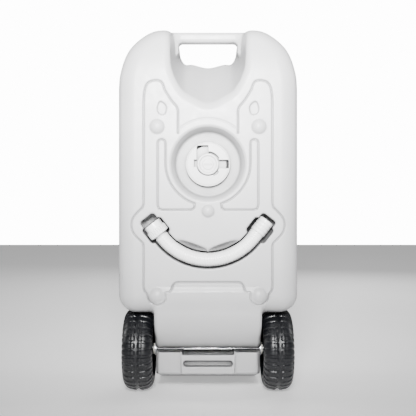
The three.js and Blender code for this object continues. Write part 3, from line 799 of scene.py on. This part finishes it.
CAP_RADIUS = 49.0
CAP_FRONT = 18.0
CAP_BACK = 27.5
CAP_SPIGOT = 41.0
PLUG_RADIUS = 24.0
PLUG_FRONT = 19.5
PLUG_BACK = 25.7
KEYWAY_FLOOR = 28.0


def rectangle(x, z, x0, x1, z0, z1):
    """Signed distance to a rectangle"""
    return np.maximum(np.abs(x - (x0 + x1) / 2) - (x1 - x0) / 2, np.abs(z - (z0 + z1) / 2) - (z1 - z0) / 2)


def sector(reach, turn, radius, middle, spread):
    """Inside the radius, within the spread either side of the middle angle, in degrees"""
    away = np.abs((turn - middle + 180) % 360 - 180) - spread
    return np.maximum(reach - radius, np.radians(away) * reach)


def keyway(x, z):
    """The pocket in the cap: a round seat, an arm up, an arm right, a wide quarter and two tabs"""
    reach, turn = np.hypot(x, z), np.degrees(np.arctan2(z, x))
    arms = np.minimum(rectangle(x, z, -24.6, 0.4, 0, 41), rectangle(x, z, 0, 46.2, -9.1, 9.1))
    arms = round_max(arms, reach - 46.2, 1.5)
    tabs = np.minimum(rectangle(x, z, -30.6, -18, -6, 9.5), sector(reach, turn, 29, -50, 14))
    seat = np.minimum(reach - 25.4, sector(reach, turn, 27.6, 56, 29))
    return round_min(np.minimum(arms, tabs), seat, 1.2)


def cap_field(x, d, z):
    """The filler cap, with its keyed pocket"""
    reach, turn = np.hypot(x, z), np.arctan2(z, x)
    disc = round_max(reach - CAP_RADIUS, np.maximum(CAP_FRONT - d, d - CAP_BACK), 2.2)
    core = np.maximum(reach - CAP_SPIGOT, np.maximum(CAP_BACK - 2 - d, d - 31.5))
    thread = 0.5 * smooth_step(np.cos(2 * math.pi * (d / 4.5) + turn), 0.1, 0.8) * (d > 32) * (d < 42)
    skirt = round_max(reach - CAP_SPIGOT + 0.3 - thread, np.maximum(37.3 - reach, d - 44), 1.0)
    skirt = np.maximum(skirt, CAP_BACK - 2 - d)
    step_ring = 0.7 * np.exp(-((reach - 46.4) / 0.9) ** 2) * (d < CAP_BACK - 3)
    field = np.minimum(np.minimum(disc + step_ring, core), skirt)
    field = cut(field, np.maximum(keyway(x, z), d - KEYWAY_FLOOR), 1.1)
    return cut(field, reach - 17.0, 0.6)


def plug_field(x, d, z):
    """The drain plug in the middle of the cap"""
    reach = np.hypot(x, z)
    knob = round_max(reach - PLUG_RADIUS, np.maximum(PLUG_FRONT - d, d - PLUG_BACK), 2.4)
    stem = np.maximum(round_max(reach - 16.4, d - 42, 1.2), PLUG_BACK - 2 - d)
    ribs = 0.5 * smooth_step(np.cos(2 * math.pi * d / 4.0), 0.1, 0.8) * (d > 30) * (d < 40)
    field = np.minimum(knob, stem + 0.5 - ribs)
    dish = round_max(reach - 18.6, d - PLUG_FRONT - 1.8, 1.6)
    field = cut(field, dish, 1.4)
    boss = round_max(reach - 12.0, PLUG_FRONT + 0.9 - d, 1.2)
    field = np.minimum(field, np.maximum(boss, d - PLUG_BACK))
    bar = round_max(rectangle(x, z, -8, 8, -1.8, 1.8), np.abs(d - PLUG_FRONT - 1.5) - 1.3, 0.9)
    field = round_min(field, bar, 0.8)
    return np.maximum(field, -np.maximum(reach - 13.4, 26.5 - d))


def make_cap_piece(node, field_of, half, depths, fine):
    """A cap or plug from its field, held inside its node's box"""
    step = fine
    across = np.arange(-half, half + step, step)
    depth = np.arange(depths[0], depths[1] + step, step)
    field = field_of(across[:, None, None], depth[None, :, None], across[None, None, :]).astype(np.float32)
    origin = np.array([across[0], depth[0] + FACE_Y, across[0] + CAP_Z])
    limits = [[v / MM for v in corner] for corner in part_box(node)]
    finish_piece(field_object(node + "_moulding", field, origin, np.array([step] * 3), 150000, limits), node)


def ring_profile(inner, outer, start, end, radius):
    """The rounded section of a ring"""
    return rounded([(inner, start), (outer, start), (outer, end), (inner, end)], radius)


def make_cap_seals():
    """The rubber rings of the cap and the plug"""
    turned_piece("filler_cap_seal", ring_profile(43, 48, 27.8, 29.7, 0.9), 96, on_cap)
    turned_piece("drain_plug_seal", ring_profile(17.2, 23, 26, 27.7, 0.8), 80, on_cap)


# ---------------------------------------------------------------- drain hose

def make_hose():
    """A white hose with a low spiral rib, lying along the trench"""
    half = HOSE_ARC * HOSE_TURN
    steps = 620
    run = np.linspace(-half - HOSE_ENDS[0], half + HOSE_ENDS[1], steps)
    theta = np.linspace(0, 2 * math.pi, 56, endpoint=False)
    at_end = np.minimum(run - run[0], run[-1] - run)
    outer = HOSE_RADIUS - np.maximum(1.0 - at_end, 0)[:, None]
    wave = 0.5 - 0.5 * np.cos(2 * math.pi * run[:, None] / 5.2 + theta[None, :])
    outer = outer - 0.55 * wave ** 2
    inner = np.full_like(outer, HOSE_BORE)[::-1]
    radius = np.concatenate([outer, inner])
    run = np.concatenate([run, run[::-1]])
    turn = np.clip(run / HOSE_ARC, -HOSE_TURN, HOSE_TURN)
    beyond = run - turn * HOSE_ARC
    x = HOSE_ARC * np.sin(turn) + beyond * np.cos(turn)
    z = HOSE_BOTTOM + HOSE_ARC * (1 - np.cos(turn)) + np.abs(beyond) * math.sin(HOSE_TURN)
    u, v = radius * np.cos(theta), radius * np.sin(theta)
    points = np.stack([x[:, None] - np.sin(turn)[:, None] * u, FACE_Y + HOSE_DEPTH + v,
                       z[:, None] + np.cos(turn)[:, None] * u], axis=2)
    finish_piece(grid_object("drain_hose_tube", points), "drain_hose")


def make_hose_fittings():
    """The hose's tail, washer, nut and cuff"""
    tail = rounded([(9, -6), (9.9, -6), (11.3, -1), (10.6, -0.8), (11.3, 4.3), (14, 4.3), (14, 11.3),
                    (18.2, 11.3), (18.2, 14), (9, 14)], 0.5)
    turned_piece("hose_tail", tail, 64, on_hose_end(-1))
    turned_piece("hose_washer", ring_profile(11, 18.1, 14.3, 17, 0.6), 64, on_hose_end(-1))
    nut = rounded([(14.3, 8, 0), (20, 8, 0), (22.5, 10, 0.4), (22.5, 11, 1), (22.5, 23, 1), (22.5, 24, 0.4),
                   (20.5, 26, 0), (20.5, 38, 0), (18.6, 38, 0), (18.6, 11, 0), (14.3, 11, 0)], 0.9)
    turned_piece("hose_nut", nut, 288, on_hose_end(-1), [repeated(24, 1.5, 0.42, 0.35)])
    outside = [(15.6, 14), (16.4, 14), (17.4, 15.5), (17.4, 20), (16.5, 21.2), (16.5, 22.4), (17.4, 23.6),
               (17.4, 28), (16.5, 29.2), (16.5, 30.4), (17.4, 31.6), (17.4, 36), (16.5, 37.2), (16.5, 38.4),
               (17.4, 39.6), (17.4, 46)]
    inside = [(15.4, 48), (12.5, 48), (12.5, 40.3), (15.6, 40.3)]
    turned_piece("hose_cuff", rounded(outside + inside, 0.7), 96, on_hose_end(1))


# ---------------------------------------------------------------- running gear

AXLE_RADIUS = 5.0
AXLE_END = 184.5
TYRE = {"radius": 92.0, "inner": 122.0, "outer": 189.0, "shoulder": 21.0, "lugs": 36, "lug_depth": 1.9}


def tyre_half(edge, sign):
    """The tread from the foot of one sidewall to the middle groove; sign points to the middle"""
    radius, shoulder = TYRE["radius"], TYRE["shoulder"]
    middle = (TYRE["inner"] + TYRE["outer"]) / 2
    points = [(62, edge, 0), (66, edge, 0), (68, edge, 0.5), (70, edge, 0.9)]
    for angle in np.linspace(0, math.pi / 2, 12)[1:]:
        points.append((radius - 1.2 - shoulder * (1 - math.sin(angle)),
                       edge + sign * shoulder * (1 - math.cos(angle)), 1))
    start, end = edge + sign * shoulder, middle - sign * 4
    for t in np.linspace(0, 1, 9)[1:]:
        points.append((radius - 1.2 + 1.2 * math.sin(math.pi * t) ** 0.8, start + (end - start) * t, 1))
    return points + [(radius - 3, middle - sign * 2.6, 0)]


def wheel_profile():
    """Hub, closed outer face with a hub well, tread and open inner side; the second relief weight
    is for the hollows between the spokes of the outer face"""
    tread = tyre_half(TYRE["inner"], 1) + tyre_half(TYRE["outer"], -1)[::-1]
    tread = [(r, a, w, 0) for r, a, w in tread]
    face = [(61, 188.4, 0, 0), (60, 188, 0, 0), (58, 188, 0, 1), (48, 188, 0, 1), (34, 188, 0, 1),
            (31, 188, 0, 0), (27, 188.4, 0, 0), (25, 188.4, 0, 0)]
    well = [(24, 187, 0, 0), (24, 175.4, 0, 0), (9.3, 175.4, 0, 0), (9.3, 123.2, 0, 0)]
    inside = [(13, 123.2, 0, 0), (13, 172.4, 0, 0), (27, 172.4, 0, 0), (28, 180, 0, 0), (66, 180, 0, 0),
              (84, 168, 0, 0), (84, 143, 0, 0), (67, 125, 0, 0), (61, 122.4, 0, 0)]
    return rounded(inside + tread + face + well, 0.8, 2)


def make_running_gear():
    """The axle, and each side's wheel, bushes, washers, push nut and hub cap"""
    rod = rounded([(0.01, -AXLE_END), (4, -AXLE_END), (AXLE_RADIUS, 1 - AXLE_END),
                   (AXLE_RADIUS, AXLE_END - 1), (4, AXLE_END), (0.01, AXLE_END)], 0.3)
    turned_piece("axle", rod, 64, on_axle(1))
    bore = AXLE_RADIUS + 0.3
    inner_bush = [(bore, 121.1), (12.5, 121.1), (12.5, 122.9), (9, 122.9), (9, 138), (bore, 138)]
    outer_bush = [(bore, 161), (9, 161), (9, 175.7), (12.5, 175.7), (12.5, 177.5), (bore, 177.5)]
    hub_cap = [(0.01, 188.8), (8, 188.6), (16, 188.1), (20, 187.4), (23.3, 186.2), (23.3, 181), (21, 181),
               (21, 185), (0.01, 185.8)]
    push_nut = [(bore, 180.1, 0), (9, 180.1, 0), (9, 180.9, 0), (7.4, 182, 0.5), (bore, 182, 0.5)]
    lugs = repeated(TYRE["lugs"], TYRE["lug_depth"], 0.34, 0.3)
    spokes = repeated(8, 4.5, 0.72, 0.16)
    for name, side in (("right", 1), ("left", -1)):
        place = on_axle(side)
        turned_piece("wheel_" + name, wheel_profile(), 576, place, [lugs, spokes])
        turned_piece("inner_washer_" + name, ring_profile(bore, 15, 117.8, 120.8, 0.5), 96, place)
        turned_piece("outer_washer_" + name, ring_profile(bore, 11, 177.8, 179.8, 0.4), 72, place)
        turned_piece("bush_inner_" + name, rounded(inner_bush, 0.4), 64, place)
        turned_piece("bush_outer_" + name, rounded(outer_bush, 0.4), 64, place)
        turned_piece("push_nut_" + name, rounded(push_nut, 0.3), 96, place, [repeated(6, 0.5, 0.4)])
        turned_piece("hub_cap_" + name, rounded(hub_cap, 0.7), 96, place)


# ---------------------------------------------------------------- assembly

SLOTS = {row["node"]: row["material_slot"] for row in frame["record"]["subparts"]}
BODIES = {node: body for body, nodes in frame["record"]["behaviour"]["bodies"].items() for node in nodes}
materials = make_materials()
add_camera()
add_studio()
make_shell()
make_cap_piece("filler_cap", cap_field, 51.0, (15.5, 46.5), 0.75)
make_cap_piece("drain_plug", plug_field, 26.0, (17.0, 44.0), 0.5)
make_cap_seals()
make_hose()
make_hose_fittings()
make_running_gear()
